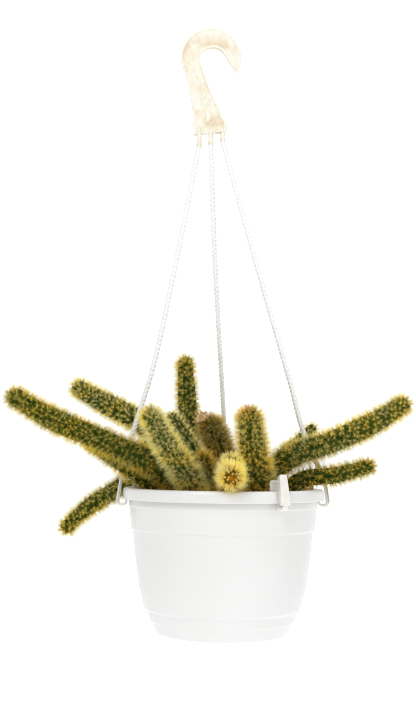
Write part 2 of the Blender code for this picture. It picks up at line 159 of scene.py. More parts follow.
def noise(place, scale, detail=3.0, roughness=0.5):
    """Noise from 0 to 1, with scale in features per metre."""
    return place.node("ShaderNodeTexNoise", {},
                      {"Vector": place, "Scale": scale, "Detail": detail, "Roughness": roughness})


def bump(wire, strength, distance):
    """A normal from a height; distance is the height of 1, in metres."""
    return wire.node("ShaderNodeBump", {},
                     {"Height": wire, "Strength": strength, "Distance": distance})


def grid_faces(rows, columns, first=0, around=True):
    """Quads of a grid whose points run row by row; around joins the last column to the first."""
    row = np.arange(rows - 1)[:, None]
    column = np.arange(columns if around else columns - 1)[None, :]
    beside = (column + 1) % columns
    quads = np.stack([row * columns + column, row * columns + beside,
                      (row + 1) * columns + beside, (row + 1) * columns + column], axis=-1)
    return quads.reshape(-1, 4) + first


def capped(points):
    """A tube grid (rows, columns, 3) as vertices and faces, its two ends closed by fans."""
    rows, columns, _ = points.shape
    middles = np.stack([points[0].mean(0), points[-1].mean(0)])
    vertices = np.vstack([points.reshape(-1, 3), middles])
    ring = np.arange(columns)
    following = (ring + 1) % columns
    low = np.stack([np.full(columns, rows * columns), following, ring], axis=-1)
    last = (rows - 1) * columns
    high = np.stack([np.full(columns, rows * columns + 1), last + ring, last + following], axis=-1)
    return vertices, [grid_faces(rows, columns), low, high]


def together(parts):
    """Several closed shapes as one list of vertices and one of faces."""
    vertices = np.vstack([part[0] for part in parts])
    offset = np.cumsum([0] + [len(part[0]) for part in parts[:-1]])
    return vertices, [array + first for part, first in zip(parts, offset) for array in part[1]]


def piece(name, vertices, faces, finishes, slots=None, tints=None):
    """Put vertices in millimetres and arrays of faces into a smooth mesh; slots names each array's
    finish, and tints each vertex's colour."""
    mesh = bpy.data.meshes.new(name)
    counts = np.concatenate([np.full(len(part), part.shape[1]) for part in faces])
    loops = np.concatenate([part.ravel() for part in faces])
    starts = np.concatenate([[0], np.cumsum(counts)[:-1]])
    mesh.vertices.add(len(vertices))
    mesh.vertices.foreach_set("co", (np.asarray(vertices) * MM).astype(np.float32).ravel())
    mesh.loops.add(len(loops))
    mesh.loops.foreach_set("vertex_index", loops.astype(np.int32))
    mesh.polygons.add(len(counts))
    mesh.polygons.foreach_set("loop_start", starts.astype(np.int32))
    for finish in finishes:
        mesh.materials.append(finish)
    if slots:
        chosen = np.concatenate([np.full(len(part), slot) for part, slot in zip(faces, slots)])
        mesh.polygons.foreach_set("material_index", chosen.astype(np.int32))
    mesh.update(calc_edges=True)
    mesh.validate()
    if tints is not None:
        layer = mesh.attributes.new("tint", "FLOAT_COLOR", "POINT")
        full = np.column_stack([tints, np.ones(len(tints))])
        layer.data.foreach_set("color", full.astype(np.float32).ravel())
    mesh.shade_smooth()
    made = bpy.data.objects.new(name, mesh)
    bpy.context.collection.objects.link(made)
    return made


def dressed(made, node):
    """The piece stands for a CAD node and moves with the whole."""
    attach(made, "root")
    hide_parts(node)


# The backdrop: a wide pale floor well below the hanging pot that rolls up behind it. It glows
# a little, which keeps it even.
FLOOR_GLOW = 0.8
FLOOR_DROP = 420
BEND_START, BEND_RUN, BEND_RISE = 1700, 1500, 2600
floor_white, place, shader = finish_of("studio_floor", 0.9, (0.5, 0.5, 0.5))
shader.inputs["Emission Color"].default_value = STUDIO_WHITE
shader.inputs["Emission Strength"].default_value = FLOOR_GLOW
run = np.linspace(-3000, 3200, 64)
bend = np.clip((run - BEND_START) / BEND_RUN, 0, 1) * pi / 2
rise = BEND_RISE * (1 - np.cos(bend)) - FLOOR_DROP
across = np.linspace(-3500, 3500, 3)
sweep = np.stack(np.broadcast_arrays(across[None, :], run[:, None], rise[:, None]), axis=-1)
backdrop = piece("studio_backdrop", sweep.reshape(-1, 3),
                 [grid_faces(len(run), len(across), around=False)], [floor_white])

# The pot: one thin injection-moulded bucket in glossy white polypropylene, turned in outline,
# with two small steps near the base, one under the collar and a hollow band round the rim.
POT_OUTSIDE = [
    (57.8, 0.0), (59.2, 1.8), (62.8, 10.2), (64.3, 11.2), (66.9, 20.0), (69.5, 21.6),
    (74.1, 40.0), (78.1, 66.0), (80.5, 90.2), (82.2, 91.2), (83.9, 110.6),
    (84.5, 111.2), (84.5, 125.2),
]
POT_RIM = [
    (86.2, 125.2), (88.2, 124.6), (88.6, 123.0), (88.6, 117.4), (89.4, 117.0), (90.0, 117.6),
    (90.0, 124.2), (89.2, 126.3), (87.2, 127.0), (83.6, 127.0), (82.6, 126.0),
]
POT_INSIDE = [
    (82.4, 110.6), (80.7, 91.6), (79.0, 90.6), (76.6, 66.0), (72.6, 40.0), (67.9, 23.0),
    (65.3, 21.3), (62.7, 12.6), (61.2, 11.4), (57.4, 2.4), (14.0, 2.4),
]
POT_UNDERSIDE = [(12.0, 0.0), (13.0, 1.0), (46.0, 1.0), (47.0, 0.0)]
POT_ROUNDING = 1.6
POLE = 0.4
ROUND_SIDES = 144
RIM_TOP = 127.0
RIM_INNER, RIM_OUTER = 82.6, 90.0
DRAIN_RING, DRAIN_RADIUS, DRAINS = 32.0, 3.0, 5
DRAIN_BOTTOM, DRAIN_TOP = -3.0, 6.0


def softened(outline, reach, closed=False):
    """Round each corner of an outline: a quadratic arc that leaves and meets its two sides at most
    reach away from the corner, and straight between."""
    outline = np.array(outline, float)
    ahead = np.roll(outline, -1, axis=0) - outline
    behind = np.roll(outline, 1, axis=0) - outline
    long_ahead = np.linalg.norm(ahead, axis=1)
    long_behind = np.linalg.norm(behind, axis=1)
    cut = np.minimum(reach, 0.45 * np.minimum(long_ahead, long_behind))
    start = outline + behind * (cut / long_behind)[:, None]
    end = outline + ahead * (cut / long_ahead)[:, None]
    share = np.linspace(0, 1, 5)[None, :, None]
    arcs = ((1 - share) ** 2 * start[:, None] + 2 * share * (1 - share) * outline[:, None]
            + share ** 2 * end[:, None])
    if closed:
        return arcs.reshape(-1, 2)
    return np.vstack([outline[:1], arcs[1:-1].reshape(-1, 2), outline[-1:]])


def turned(outline, sides):
    """A solid of revolution: each (radius, height) of the outline swept round the Z axis."""
    angle = np.linspace(0, 2 * pi, sides, endpoint=False)[None, :]
    radius, height = outline[:, :1], outline[:, 1:]
    return np.stack(np.broadcast_arrays(radius * np.cos(angle), radius * np.sin(angle), height), -1)


pot_white, place, shader = finish_of("pot_white", 0.34, (0.86, 0.86, 0.85), Coat_Weight=0.15)
cloud = noise(place, 9.0, 4.0)
feed(shader, "Base Color", cloud.smooth(0.25, 0.75).mix((0.765, 0.765, 0.755), (0.80, 0.80, 0.795)))
feed(shader, "Roughness", noise(place, 60.0, 5.0) * 0.16 + 0.28)
ripple = noise(place, 22.0, 2.0) * 0.5 + noise(place, 420.0, 3.0) * 0.08
feed(shader, "Normal", bump(ripple, 0.35, 0.0006))
section = POT_UNDERSIDE + POT_OUTSIDE + POT_RIM + POT_INSIDE
outline = softened([(POLE, 0.0)] + section + [(POLE, section[-1][1])], POT_ROUNDING)
vertices, faces = capped(turned(outline, ROUND_SIDES))
pot = piece("pot_moulded", vertices, faces, [pot_white])
dressed(pot, "pot")
drain_angles = 2 * pi * (np.arange(DRAINS) + 0.5) / DRAINS
drain = turned(np.array([(DRAIN_RADIUS, DRAIN_BOTTOM), (DRAIN_RADIUS, DRAIN_TOP)]), 24)
vertices, faces = together([capped(drain + (DRAIN_RING * cos(angle), DRAIN_RING * sin(angle), 0))
                            for angle in drain_angles])
cutter = piece("drain_cutter", vertices, faces, [pot_white])
cut = pot.modifiers.new("drains", "BOOLEAN")
cut.operation = "DIFFERENCE"
cut.object = cutter
graph = bpy.context.evaluated_depsgraph_get()
pierced = bpy.data.meshes.new_from_object(pot.evaluated_get(graph))
pot.modifiers.clear()
pot.data = pierced
bpy.data.objects.remove(cutter)

# The soil: dark, peaty potting mix that fills the pot to just under the rim,
# crumbly on top, with loose crumbs and a little pale grit lying on it.
SOIL_TOP = 112.0
SOIL_OUTSIDE = [(0.4, 2.7), (56.8, 2.7), (60.5, 11.6), (64.8, 21.5), (72.2, 40.0), (76.2, 66.0),
                (78.6, 90.8), (80.9, 107.0)]
SOIL_EDGE, SOIL_EDGE_DROP = 74, 3.0
SOIL_ROUGHNESS = 0.64
CRUMBS, CRUMBS_REACH, CRUMBS_SUNK = 1500, 78, 0.3
chance = np.random.default_rng(7)


def lumpy(x, y):
    """A height in millimetres from crossed sine waves of four sizes, from 21 down to 2 mm."""
    height = np.zeros_like(x)
    for size, amount in ((21.0, 0.5), (9.0, 0.35), (4.3, 0.25), (2.1, 0.2)):
        turn = size * 1.7
        height += amount * np.sin((x * cos(turn) + y * sin(turn)) * 2 * pi / size + turn)
        height += amount * np.sin((y * cos(turn * 2) - x * sin(turn * 2)) * 2 * pi / size * 0.8)
    return SOIL_ROUGHNESS * (height - 1.0)


soil_brown, place, shader = finish_of("soil_dark", 0.95)
grain = noise(place, 900.0, 6.0, 0.7)
feed(shader, "Base Color",
     grain.smooth(0.3, 0.75).mix((0.010, 0.007, 0.005), (0.075, 0.048, 0.030)))
feed(shader, "Normal", bump(grain, 0.8, 0.0012))
reach = np.linspace(80.0, 0.5, 70)
fall = SOIL_EDGE_DROP * np.clip((reach - SOIL_EDGE) / 6, 0, 1) ** 2
top = np.stack([reach, SOIL_TOP - fall], axis=-1)
ground = turned(np.vstack([SOIL_OUTSIDE, top]), ROUND_SIDES)
on_top = np.arange(len(ground)) >= len(SOIL_OUTSIDE)
ground[on_top, :, 2] += lumpy(ground[on_top, :, 0], ground[on_top, :, 1])
vertices, faces = capped(ground)
spread = CRUMBS_REACH * np.sqrt(chance.random(CRUMBS))
angle = 2 * pi * chance.random(CRUMBS)
seat = np.stack([spread * np.cos(angle), spread * np.sin(angle), np.zeros(CRUMBS)], axis=-1)
seat[:, 2] = SOIL_TOP - CRUMBS_SUNK + lumpy(seat[:, 0], seat[:, 1])
corner = np.array([(1, 0, 0), (-1, 0, 0), (0, 1, 0), (0, -1, 0), (0, 0, 1), (0, 0, -1)], float)
octahedron = np.array([(0, 2, 4), (2, 1, 4), (1, 3, 4), (3, 0, 4),
                       (2, 0, 5), (1, 2, 5), (3, 1, 5), (0, 3, 5)])
size = 0.5 + 1.3 * chance.random((CRUMBS, 1, 1)) ** 2
unevenness = 0.6 + 0.8 * chance.random((CRUMBS, 6, 1))
crumbs = seat[:, None] + corner[None] * (size * unevenness)
crumb_faces = octahedron[None] + 6 * np.arange(CRUMBS)[:, None, None]
faces.append(crumb_faces.reshape(-1, 3) + len(vertices))
soil = piece("soil_crumbly", np.vstack([vertices, crumbs.reshape(-1, 3)]), faces, [soil_brown])
dressed(soil, "soil")

# The hook: an open hook moulded in ivory plastic, flat, with a raised edge round a thinner web,
# a plain scroll in low relief, and three short legs that the strands are moulded into.
HOOK_CENTRE = np.array((-13.5, 0.0, 522.0))
HOOK_OUTER, HOOK_OUTER_CENTRE = 28.2, (-1.6, 2.9)
HOOK_EYE = 12.4
HOOK_SHANK_LEFT = [(-16.4, -70.6), (-16.9, -66.9), (-18.1, -49.9), (-22.1, -25.1)]
HOOK_SHANK_RIGHT = [(13.0, -67.9), (13.9, -63.0), (10.3, -54.3), (0.3, -33.5)]
HOOK_TIP = [(23.4, -9.6), (19.9, -8.4)]
HOOK_LEGS = {"left": (-11.7, -82.0), "middle": (-1.0, -79.5), "right": (10.0, -76.6)}
LEG_RADIUS = 2.6
BEAD_PROFILE = [(0.0, 0.0), (0.0, 2.2), (0.25, 2.75), (0.75, 3.0), (1.6, 3.0), (2.1, 2.8),
                (2.45, 2.2), (2.9, 2.0)]
BEAD_ROOM = 7.0
EDGE_POINTS, SHANK_POINTS, ARC_POINTS = 200, 40, 60
WEB_FACE = 2.0
SCROLL_X, SCROLL_Z, SCROLL_RADIUS, SCROLL_START = -6.5, -40.0, 5.2, 0.6
SCROLL_TWIST = 4.2 * pi
SCROLL_GIRTH = 0.75
STALK_KNOTS = [(-10.0, -36.0), (-9.0, -26.0), (-14.5, -14.0), (-19.5, -4.0)]
LEAF_KNOTS = [(-5.0, -60.0), (-3.0, -54.0), (-5.5, -48.0)]


def smooth_curve(knots, steps):
    """A curve through all knots but the first and the last, which only steer its ends.

    Each stretch is a cubic Hermite piece, and the direction at a knot is that of the parabola
    through it and its two neighbours."""
    knots = np.array(knots, float)
    span = np.linalg.norm(np.diff(knots, axis=0), axis=1)[:, None]
    slope = np.diff(knots, axis=0) / span
    slope = (slope[:-1] * span[1:] + slope[1:] * span[:-1]) / (span[:-1] + span[1:])
    t = np.linspace(0, 1, steps, endpoint=False)[None, :, None]
    curve = ((1 + 2 * t) * (1 - t) ** 2 * knots[1:-2, None]
             + t ** 2 * (3 - 2 * t) * knots[2:-1, None]
             + span[1:-1, None] * t * (1 - t) * ((1 - t) * slope[:-1, None] - t * slope[1:, None]))
    return np.vstack([curve.reshape(-1, knots.shape[1]), knots[-2]])


def smooth_line(knots, steps):
    """A smooth curve through all knots, straight on at both ends."""
    knots = np.array(knots, float)
    before, after = 2 * knots[0] - knots[1], 2 * knots[-1] - knots[-2]
    return smooth_curve(np.vstack([before, knots, after]), steps)


def even(points, count):
    """The same line with count points at even steps along it."""
    step = np.linalg.norm(np.diff(points, axis=0), axis=1)
    along = np.concatenate([[0], np.cumsum(step)])
    target = np.linspace(0, along[-1], count)
    return np.stack([np.interp(target, along, points[:, k]) for k in range(points.shape[1])], -1)


def arc(centre, radius, start, end, count):
    """Points on an arc between two angles in degrees."""
    angle = np.radians(np.linspace(start, end, count))
    return np.stack([centre[0] + radius * np.cos(angle), centre[1] + radius * np.sin(angle)], -1)


ivory, place, shader = finish_of("hook_ivory", 0.35, (0.78, 0.70, 0.52), Coat_Weight=0.2)
shader.inputs["Subsurface Weight"].default_value = 0.25
shader.inputs["Subsurface Radius"].default_value = (0.004, 0.003, 0.0015)
flow = noise(place, 34.0, 3.0, 0.6)
fine = noise(place, 260.0, 4.0)
side = place.node("ShaderNodeSeparateXYZ", {}, {0: place}, output=1)
webbed = 1.0 - side.math("ABSOLUTE", side).smooth(0.0021, 0.0027)
stain = flow.smooth(0.42, 0.72) * webbed
clean = fine.smooth(0.3, 0.7).mix((0.86, 0.81, 0.69), (0.92, 0.89, 0.80))
feed(shader, "Base Color", (stain * 0.6).mix(clean, (0.62, 0.45, 0.18)))
feed(shader, "Roughness", fine * 0.2 + 0.25)
feed(shader, "Normal", bump(fine + flow * 0.5, 0.25, 0.0004))

outer = np.vstack([even(smooth_line(HOOK_SHANK_LEFT + [(-29.0, -2.0)], 12), SHANK_POINTS)[:-1],
                   arc(HOOK_OUTER_CENTRE, HOOK_OUTER, 188, -13, ARC_POINTS),
                   [HOOK_TIP[0], (22.0, -10.6)]])
inner = np.vstack([even(smooth_line(HOOK_SHANK_RIGHT + [(-9.4, -9.2)], 12), SHANK_POINTS)[:-1],
                   arc((0, 0), HOOK_EYE, 218, 24, ARC_POINTS),
                   [HOOK_TIP[1], (21.2, -10.5)]])
outer = even(smooth_line(outer, 2), EDGE_POINTS)
inner = even(smooth_line(inner, 2), EDGE_POINTS)
width = np.linalg.norm(inner - outer, axis=1)
across = (inner - outer) / width[:, None]
bead = np.array(BEAD_PROFILE)
web = np.linspace(0, 1, 8)[1:-1]
shrink = np.minimum(width / BEAD_ROOM, 1.0)[:, None]
near_left = bead[None, :, 0] * shrink
near_right = width[:, None] - bead[None, ::-1, 0] * shrink
middle = near_left[:, -1:] + (near_right[:, :1] - near_left[:, -1:]) * web[None]
reach = np.hstack([near_left, middle, near_right])
depth = np.concatenate([bead[:, 1], np.full(len(web), bead[-1, 1]), bead[::-1, 1]])
reach = np.hstack([reach, reach[:, -2:0:-1]])
depth = np.concatenate([-depth, depth[-2:0:-1]])
flat = outer[:, None] + across[:, None] * reach[..., None]
plate = np.stack([flat[..., 0], np.broadcast_to(depth, reach.shape), flat[..., 1]], -1)
parts = [capped(plate + HOOK_CENTRE)]
for x, bottom in HOOK_LEGS.values():
    leg_outline = softened([
        (0.3, bottom), (LEG_RADIUS - 0.2, bottom), (LEG_RADIUS, bottom + 3.0),
        (LEG_RADIUS - 0.5, bottom + 4.0), (LEG_RADIUS - 0.2, -64.0), (0.3, -63.0)], 0.5)
    parts.append(capped(turned(leg_outline, 28) + HOOK_CENTRE + (x, 0, 0)))


def swept(path, girth, sides, flatten):
    """A tube: circles of the girth at each point carried along a path, squashed by flatten
    across the hook's flat side."""
    tangent = np.gradient(path, axis=0)
    tangent /= np.linalg.norm(tangent, axis=1)[:, None]
    rise = np.array((0.0, 1.0, 0.0)) - tangent * tangent[:, 1:2]
    rise /= np.linalg.norm(rise, axis=1)[:, None]
    beside = np.cross(rise, tangent)
    angle = np.linspace(0, 2 * pi, sides, endpoint=False)[None, :, None]
    girth = np.broadcast_to(girth, len(path))[:, None, None]
    return path[:, None] + girth * (np.cos(angle) * beside[:, None]
                                    + flatten * np.sin(angle) * rise[:, None])


turning = np.linspace(0, 1, 70)
radius = SCROLL_RADIUS * (1 - 0.75 * turning)
bearing = SCROLL_TWIST * turning + SCROLL_START
spiral = np.stack([SCROLL_X - radius * np.cos(bearing), SCROLL_Z + radius * np.sin(bearing)], -1)
stalk = smooth_line(STALK_KNOTS, 14)
leaf = smooth_line(LEAF_KNOTS, 16)
swell = 0.2 + 2.4 * np.sin(pi * np.linspace(0.02, 0.98, len(leaf))) ** 0.8
taper = SCROLL_GIRTH * np.sin(pi * np.linspace(0.06, 0.94, len(stalk))) ** 0.4
relief = [(spiral, SCROLL_GIRTH * (1 - 0.5 * turning), 10, 0.8),
          (stalk, taper, 10, 0.8), (leaf, swell, 12, 0.28)]
for face in (-WEB_FACE, WEB_FACE):
    for line, girth, sides, flatten in relief:
        path = np.insert(line, 1, face, axis=1) + HOOK_CENTRE
        parts.append(capped(swept(path, girth, sides, flatten)))
vertices, faces = together(parts)
hook = piece("hook_moulded", vertices, faces, [ivory])
dressed(hook, "hook")

# The clips: short straps moulded in warm white plastic. Each grips under the rim band with a
# narrow J and holds the rim's inside with a second leg; three of them hold the end of a strand.
CLIP_WIDTH = 10.0
CLIP_OUTLINE = [
    (89.9, 141.0), (92.1, 141.0), (95.9, 116.4), (95.7, 114.8), (95.4, 112.6), (93.4, 111.0),
    (88.4, 111.0), (86.2, 113.0), (86.0, 120.4), (87.6, 120.4), (87.7, 114.4), (88.6, 113.4),
    (92.6, 113.4), (93.3, 114.8), (93.2, 116.4), (91.3, 132.0), (91.0, 133.6), (84.0, 133.6),
    (82.0, 133.4), (81.2, 132.4), (81.2, 119.5), (79.0, 119.5), (78.9, 134.6), (80.4, 136.0),
    (84.0, 136.0), (90.3, 136.0), (90.1, 137.4),
]
CLIP_ANGLES = {"clip_left": 189.0, "clip_right": 3.0, "clip_back": 87.0, "clip_front": -58.0}
CLIP_TOP, CLIP_CROWN = 141.0, 4.0
CROWN_SHARE = 0.28
CLIP_EDGE = 0.35
TONGUE_TOP = 115.6
TONGUE_WIDTH = 5.2

warm_white, place, shader = finish_of("clip_warm_white", 0.36, (0.83, 0.80, 0.75), Coat_Weight=0.1)
cloud = noise(place, 120.0, 3.0)
feed(shader, "Base Color", cloud.smooth(0.3, 0.7).mix((0.80, 0.765, 0.70), (0.86, 0.84, 0.80)))
feed(shader, "Roughness", noise(place, 500.0, 3.0) * 0.2 + 0.26)
feed(shader, "Normal", bump(cloud, 0.2, 0.0003))
band = softened(CLIP_OUTLINE, 0.8, closed=True)
out, height = band[:, 0], band[:, 1]
lift = np.clip((height - (CLIP_TOP - CLIP_CROWN)) / CLIP_CROWN, 0, 1)
crown = CROWN_SHARE + (1 - CROWN_SHARE) * np.sqrt(np.clip(1 - lift ** 2, 0, 1))
in_tongue = (height < TONGUE_TOP) | ((height < 121.0) & (out > 85) & (out < 88.5))
in_bridge = (height > 132.0) & (height < 136.5) & (out > 82.5)
half = np.where(in_tongue | in_bridge, TONGUE_WIDTH / 2, CLIP_WIDTH / 2 * crown)
layers = [(-1.0, CLIP_EDGE), (-1.0, 0.0), (1.0, 0.0), (1.0, CLIP_EDGE)]


def strap(angle):
    """The clip's outline carried across its width; the width narrows to a round crown at the top
    and the outline shrinks a little at both sides for a soft edge."""
    tangent = np.roll(band, -1, axis=0) - np.roll(band, 1, axis=0)
    normal = np.stack([tangent[:, 1], -tangent[:, 0]], -1)
    normal /= np.linalg.norm(normal, axis=1)[:, None]
    area = np.sum(band[:, 0] * np.roll(band[:, 1], -1) - np.roll(band[:, 0], -1) * band[:, 1])
    normal *= 1 if area > 0 else -1
    rows = []
    for sign, inset in layers:
        ring = band - normal * inset
        y = sign * (half - (0.0 if inset else CLIP_EDGE))
        rows.append(np.stack([ring[:, 0], y, ring[:, 1]], -1))
    rows = np.stack(rows)
    c, s = cos(radians(angle)), sin(radians(angle))
    return rows @ np.array([(c, s, 0), (-s, c, 0), (0, 0, 1)])


def sheet_ends(points):
    """A short tube of outlines whose two flat ends are closed by one many-sided face each."""
    rows, columns, _ = points.shape
    ring = np.arange(columns)
    return points.reshape(-1, 3), [grid_faces(rows, columns), ring[None, ::-1],
                                   ring[None] + (rows - 1) * columns]


for node, angle in CLIP_ANGLES.items():
    vertices, faces = sheet_ends(strap(angle))
    clip = piece(node + "_strap", vertices, faces, [warm_white])
    clip.data.set_sharp_from_angle(angle=radians(40))
    dressed(clip, node)

# The strands: white laid cords of three plies, moulded into the hook's legs and hooked into
# three clips, drawn nearly straight by the pot's weight.
STRAND_RADIUS = 2.5
STRAND_ENDS = {"left": "clip_left", "middle": "clip_back", "right": "clip_right"}
STRAND_PASSES = {
    "left": [(-48, -6, 314), (-65, -10, 231), (-82, -12.5, 172)],
    "middle": [(-9, 32, 335), (0, 70, 208)],
    "right": [(33, 2, 316), (61, 3.5, 220), (73.5, 4, 175), (84, 4.5, 151)],
}
STRAND_GRIP_OUT, STRAND_GRIP_HEIGHT = 91.0, 139.6
STRAND_POINTS, STRAND_SIDES, ROUTE_POINTS = 300, 24, 24
LAY_PITCH = 12.0
PLY_SHARE, GROOVE_SHARE = 0.464, 0.62


def strand_route(side, count):
    """The solid's route, from inside a leg's foot past the given points to the crown of a clip."""
    x, bottom = HOOK_LEGS[side]
    start = HOOK_CENTRE + (x, 0, bottom + 0.8)
    angle = radians(CLIP_ANGLES[STRAND_ENDS[side]])
    end = np.array([STRAND_GRIP_OUT * cos(angle), STRAND_GRIP_OUT * sin(angle), STRAND_GRIP_HEIGHT])
    return even(smooth_line(np.vstack([start, STRAND_PASSES[side], end]), 30), count)


def laid(route):
    """Three plies round a line: the radius is that of three touching circles, seen from the
    middle, and the pattern turns once in each lay."""
    step = np.linalg.norm(np.diff(route, axis=0), axis=1)
    along = np.concatenate([[0], np.cumsum(step)])
    tangent = np.gradient(route, axis=0)
    tangent /= np.linalg.norm(tangent, axis=1)[:, None]
    beside = np.cross(tangent, (0.0, 1.0, 0.0))
    beside /= np.linalg.norm(beside, axis=1)[:, None]
    other = np.cross(tangent, beside)
    angle = np.linspace(0, 2 * pi, STRAND_SIDES, endpoint=False)[None, :]
    local = (angle - 2 * pi * along[:, None] / LAY_PITCH) % (2 * pi / 3) - pi / 3
    ply = STRAND_RADIUS * PLY_SHARE
    centre = STRAND_RADIUS - ply
    bulge = np.sqrt(np.maximum(ply ** 2 - (centre * np.sin(local)) ** 2, 0))
    radius = np.maximum(centre * np.cos(local) + bulge, STRAND_RADIUS * GROOVE_SHARE)
    return route[:, None] + radius[..., None] * (np.cos(angle)[..., None] * beside[:, None]
                                                 + np.sin(angle)[..., None] * other[:, None])


cord_white, place, shader = finish_of("cord_white", 0.72, (0.85, 0.85, 0.83))
fibre = noise(place, 1500.0, 3.0)
feed(shader, "Base Color", fibre.smooth(0.3, 0.7).mix((0.86, 0.855, 0.84), (0.95, 0.95, 0.94)))
feed(shader, "Normal", bump(fibre, 0.5, 0.0003))
for side in STRAND_ENDS:
    route = strand_route(side, STRAND_POINTS)
    vertices, faces = capped(laid(route))
    strand = piece("strand_" + side + "_laid", vertices, faces, [cord_white])
    dressed(strand, "strand_" + side)
    coarse = strand_route(side, ROUTE_POINTS) * MM
    length = float(np.linalg.norm(np.diff(coarse, axis=0), axis=1).sum())

# The stems: fleshy, ribbed, trailing cactus stems that root in the soil. Each rib carries a row
# of woolly areoles, and each areole a star of short golden spines round a few longer ones.
# The front stems are furrier and paler; the middle one is darker, which is painted shade.
ROOT_DEPTH = 13.0
STEMS = {
    "stem_long_left": (9.8, "deep", [(-32, -24, 112), (-56, -34, 144), (-98, -44, 165),
                                       (-152, -50, 188), (-186, -52, 208)]),
    "stem_back_left": (10.3, "blond", [(-12, 15, 112), (-54, 18, 167), (-81, 28, 188),
                                       (-110, 36, 203), (-143, 42, 221)]),
    "stem_low_left": (7.4, "deep", [(-48, -10, 112), (-65, -21, 130), (-91, -27, 149),
                                      (-120, -28, 167)]),
    "stem_drooping": (8.3, "golden", [(-50, 28, 112), (-72, 37, 137.5), (-103, 47, 121),
                                      (-130, 50, 103), (-150, 46, 83)]),
    "stem_upright": (9.1, "golden", [(-26, 43, 112), (-31, 42, 170), (-34, 42, 206),
                                     (-37, 40, 249)]),
    "stem_front_left": (9.8, "pale", [(-22, -47, 112), (-31, -51, 137), (-47, -60, 161),
                                      (-65, -76, 194)]),
    "stem_inner_left": (7.6, "slim", [(-5, -4, 112), (-24, -10, 154), (-37, -16, 175),
                                      (-49, -20, 193)]),
    "stem_middle": (12.2, "dark", [(15, 22, 112), (-1, 20, 152), (-7, 14, 172), (-15, 2, 189)]),
    "stem_facing": (9.0, "halo", [(6, -37, 112), (5, -45, 138), (6, -62, 148), (6, -83, 141),
                                  (5, -104, 138)]),
    "stem_front_right": (11.8, "tan", [(36, -31, 112), (29, -38, 139), (24, -50, 167),
                                       (20, -62, 196)]),
    "stem_long_right": (10.0, "golden", [(26, -4, 112), (55, -11, 152), (98, -18, 170),
                                         (137, -22, 189), (163, -24, 206)]),
    "stem_low_right": (7.8, "deep", [(49, 3, 112), (68, -6, 134), (100, -15, 140),
                                       (133, -19, 149)]),
    "stem_small_right": (6.4, "blond", [(40, 31, 112), (57, 42, 158), (71, 48, 169),
                                         (88, 48, 185)]),
    "stem_bud_left": (6.5, "pale", [(-36, 4, 112), (-49, 4, 141), (-60, 3, 153), (-75, 2, 167)]),
    "stem_short_left": (7.4, "dark", [(-6, -24, 112), (-10, -28, 131), (-15, -33, 145),
                                      (-21, -38, 157)]),
    "stem_rear_right": (6.5, "golden", [(20, 48, 112), (25, 58, 130), (33, 74, 142),
                                        (40, 90, 148)]),
    "stem_rear_left": (6.2, "golden", [(-12, 60, 112), (-17, 69, 130), (-25, 83, 139),
                                       (-34, 98, 141)]),
}
# For each coat: flat and standing spines to an areole, their lengths and half thickness, how far
# the standing ones lean to the tip, how far all are combed along the stem, and the colours of
# their roots, their points and the young ones on the tip
# The deep and dark coats carry darker colours for the low and inner stems, which hang in the
# plant's shade: painted shade.
COATS = {
    "golden": dict(flat=6, standing=13, short=4.4, long=6.6, stout=0.14, lean=0.05, comb=0.0,
                   root=(0.36, 0.28, 0.007), point=(1.0, 0.90, 0.33), young=(0.50, 0.40, 0.03)),
    "deep": dict(flat=6, standing=13, short=4.4, long=6.6, stout=0.14, lean=0.05, comb=0.0,
                 root=(0.17, 0.13, 0.003), point=(0.95, 0.80, 0.20), young=(0.46, 0.31, 0.02)),
    "blond": dict(flat=6, standing=13, short=4.4, long=6.6, stout=0.14, lean=0.08, comb=0.0,
                  root=(0.48, 0.37, 0.03), point=(1.0, 0.94, 0.42), young=(0.90, 0.78, 0.24)),
    "pale": dict(flat=8, standing=17, short=5.6, long=7.4, stout=0.14, lean=0.25, comb=0.2,
                 root=(0.52, 0.40, 0.03), point=(1.0, 0.95, 0.45), young=(0.50, 0.34, 0.02)),
    "slim": dict(flat=7, standing=13, short=4.6, long=5.2, stout=0.13, lean=0.25, comb=0.1,
                 root=(0.36, 0.28, 0.02), point=(1.0, 0.94, 0.48), young=(0.60, 0.42, 0.05)),
    "halo": dict(flat=8, standing=26, short=3.6, long=9.4, stout=0.15, lean=0.0, comb=0.0,
                 root=(0.90, 0.62, 0.08), point=(1.0, 0.88, 0.36), young=(0.95, 0.42, 0.01)),
    "tan": dict(flat=9, standing=16, short=5.4, long=7.2, stout=0.14, lean=0.2, comb=0.2,
                root=(0.42, 0.31, 0.010), point=(1.0, 0.86, 0.28), young=(0.46, 0.15, 0.01)),
    "dark": dict(flat=9, standing=20, short=6.4, long=8.0, stout=0.12, lean=0.2, comb=0.15,
                 root=(0.05, 0.035, 0.003), point=(0.72, 0.58, 0.18), young=(0.40, 0.25, 0.04)),
}
HALO_RUN = 8.5
AREOLE_COLOUR = (0.95, 0.55, 0.08)
# Painted light: the spines glow faintly, standing in for light shining through the thin spines.
SPINE_PAINTED_GLOW = 0.16
RIB_SPACING = 4.0
AREOLE_SPACING = 4.6
RIB_RELIEF = 0.55
SWELL, SWELL_SHARE = 0.035, 0.37
TAPER = 0.16
TAPER_RUN = 42.0
DOME_AREOLE_AREA = 11.0
KNOT_STEPS = 24


def centre_line(points):
    """The same smooth curve as the solid's: straight up from the buried root, then through the
    foot, shoulder, middle and tip."""
    points = np.array(points, float)
    root = points[0] - (0, 0, ROOT_DEPTH)
    knots = np.vstack([root - (0, 0, ROOT_DEPTH), root, points, 2 * points[-1] - points[-2]])
    return smooth_curve(knots, KNOT_STEPS)


